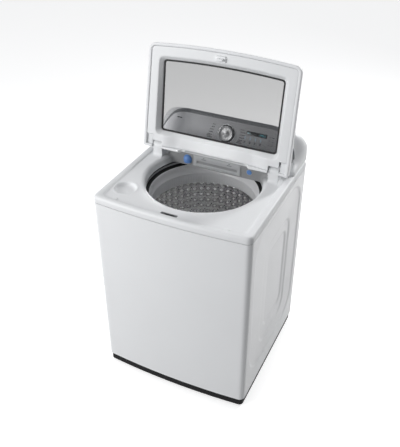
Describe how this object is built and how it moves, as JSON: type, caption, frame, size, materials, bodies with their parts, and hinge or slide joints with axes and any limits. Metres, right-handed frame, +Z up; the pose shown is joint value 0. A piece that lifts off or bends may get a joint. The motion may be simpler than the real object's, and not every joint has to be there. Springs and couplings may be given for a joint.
{
  "type": "top load washing machine",
  "caption": "Free-standing top load washing machine with a hinged glass lid, rear control console, detergent drawer, water nozzle and a suspended tub with a spinning basket.",
  "frame": {"origin": "centre of the overall box at floor level, under the four feet", "axes": "+Z up, -Y towards the front of the machine, +X to its right seen from the front"},
  "size_m": [0.686, 0.678, 1.4161],
  "materials": {
    "cabinet_paint": "gloss",
    "top_plastic": "gloss",
    "base_black": "satin",
    "galvanised": "satin",
    "spring_steel": "satin",
    "fascia_silver": "satin",
    "rear_grey": "matte",
    "display_black": "gloss",
    "key_light": "gloss",
    "board_green": "matte",
    "black_plastic": "matte",
    "bezel_chrome": "polished",
    "knob_silver": "brushed",
    "drawer_grey": "satin",
    "nozzle_blue": "gloss",
    "valve_red": "matte",
    "valve_blue": "matte",
    "tub_plastic": "matte",
    "ring_grey": "satin",
    "hose_rubber": "matte",
    "hose_grey": "matte",
    "basket_steel": "polished",
    "cast_alloy": "matte",
    "lid_glass": "gloss",
    "seal_black": "satin",
    "foot_black": "matte"
  },
  "bodies": {
    "cabinet": {"base_frame": "base_black", "cabinet_wrap": "cabinet_paint", "rear_panel": "cabinet_paint", "rear_access_cover": "galvanised", "corner_braces": "galvanised", "top_cover": "top_plastic", "console_housing": "top_plastic", "console_rear_plate": "rear_grey", "console_fascia": "fascia_silver", "display_window": "display_black", "option_keys": "key_light", "control_board": "board_green", "dial_encoder": "black_plastic", "dial_bezel": "bezel_chrome", "dispenser_housing": "drawer_grey", "water_nozzle": "nozzle_blue", "lid_lock": "black_plastic", "inlet_valve_hot": "valve_red", "inlet_valve_cold": "valve_blue", "pressure_sensor": "tub_plastic", "drain_pump": "tub_plastic", "drain_hose": "hose_grey", "drain_outlet": "black_plastic", "cord_gland": "black_plastic", "rear_screws": "galvanised", "lock_nuts": "galvanised", "rod_front_left": "galvanised", "rod_front_right": "galvanised", "rod_rear_left": "galvanised", "rod_rear_right": "galvanised", "spring_front_left": "spring_steel", "spring_front_right": "spring_steel", "spring_rear_left": "spring_steel", "spring_rear_right": "spring_steel", "drain_bellows": "hose_rubber"},
    "tub": {"outer_tub": "tub_plastic", "tub_cover": "ring_grey", "bearing_housing": "cast_alloy", "stator": "cast_alloy"},
    "basket": {"wash_basket": "basket_steel", "balance_ring": "ring_grey", "basket_hub": "cast_alloy"},
    "agitator": {"pulsator": "ring_grey", "pulsator_cap": "basket_steel", "drive_shaft": "galvanised", "motor_rotor": "galvanised"},
    "lid": {"lid_outer_frame": "top_plastic", "lid_inner_frame": "top_plastic", "lid_glass": "lid_glass", "window_seal": "seal_black", "lid_strike": "top_plastic", "hinge_pins": "galvanised"},
    "drawer": {"detergent_drawer": "drawer_grey", "drawer_front": "drawer_grey"},
    "nozzle_button": {"water_button": "nozzle_blue"},
    "knob": {"selector_knob": "knob_silver"},
    "foot_front_left": {"foot_front_left": "foot_black"},
    "foot_front_right": {"foot_front_right": "foot_black"},
    "foot_rear_left": {"foot_rear_left": "foot_black"},
    "foot_rear_right": {"foot_rear_right": "foot_black"}
  },
  "joints": [
    {"name": "lid_hinge", "type": "hinge", "parent": "cabinet", "child": "lid", "pos_m": [0, 0.115, 0.965], "axis": [1, 0, 0], "range_deg": [0, 101.3]},
    {"name": "drawer_slide", "type": "slide", "parent": "cabinet", "child": "drawer", "axis": [0, -1, 0], "range_m": [0, 0.12]},
    {"name": "water_button_press", "type": "slide", "parent": "cabinet", "child": "nozzle_button", "axis": [0, 1, 0], "range_m": [0, 0.002], "stiffness_N_per_m": 600, "springref_m": -0.002},
    {"name": "dial_turn", "type": "hinge", "parent": "cabinet", "child": "knob", "pos_m": [0, 0.2311, 1.0254], "axis": [0, -0.9229, 0.3851], "continuous": true},
    {"name": "tub_float", "type": "slide", "parent": "cabinet", "child": "tub", "axis": [0, 0, 1], "range_m": [-0.025, 0.006], "stiffness_N_per_m": 20000, "springref_m": 0.0165, "deforming": ["spring_front_left", "spring_front_right", "spring_rear_left", "spring_rear_right", "drain_bellows"]},
    {"name": "basket_spin", "type": "hinge", "parent": "tub", "child": "basket", "pos_m": [0, 0, 0.25], "axis": [0, 0, 1], "continuous": true},
    {"name": "pulsator_spin", "type": "hinge", "parent": "tub", "child": "agitator", "pos_m": [0, 0, 0.25], "axis": [0, 0, 1], "continuous": true},
    {"name": "level_front_left", "type": "slide", "parent": "cabinet", "child": "foot_front_left", "axis": [0, 0, -1], "range_m": [0, 0.012]},
    {"name": "level_front_right", "type": "slide", "parent": "cabinet", "child": "foot_front_right", "axis": [0, 0, -1], "range_m": [0, 0.012]},
    {"name": "level_rear_left", "type": "slide", "parent": "cabinet", "child": "foot_rear_left", "axis": [0, 0, -1], "range_m": [0, 0.012]},
    {"name": "level_rear_right", "type": "slide", "parent": "cabinet", "child": "foot_rear_right", "axis": [0, 0, -1], "range_m": [0, 0.012]}
  ]
}
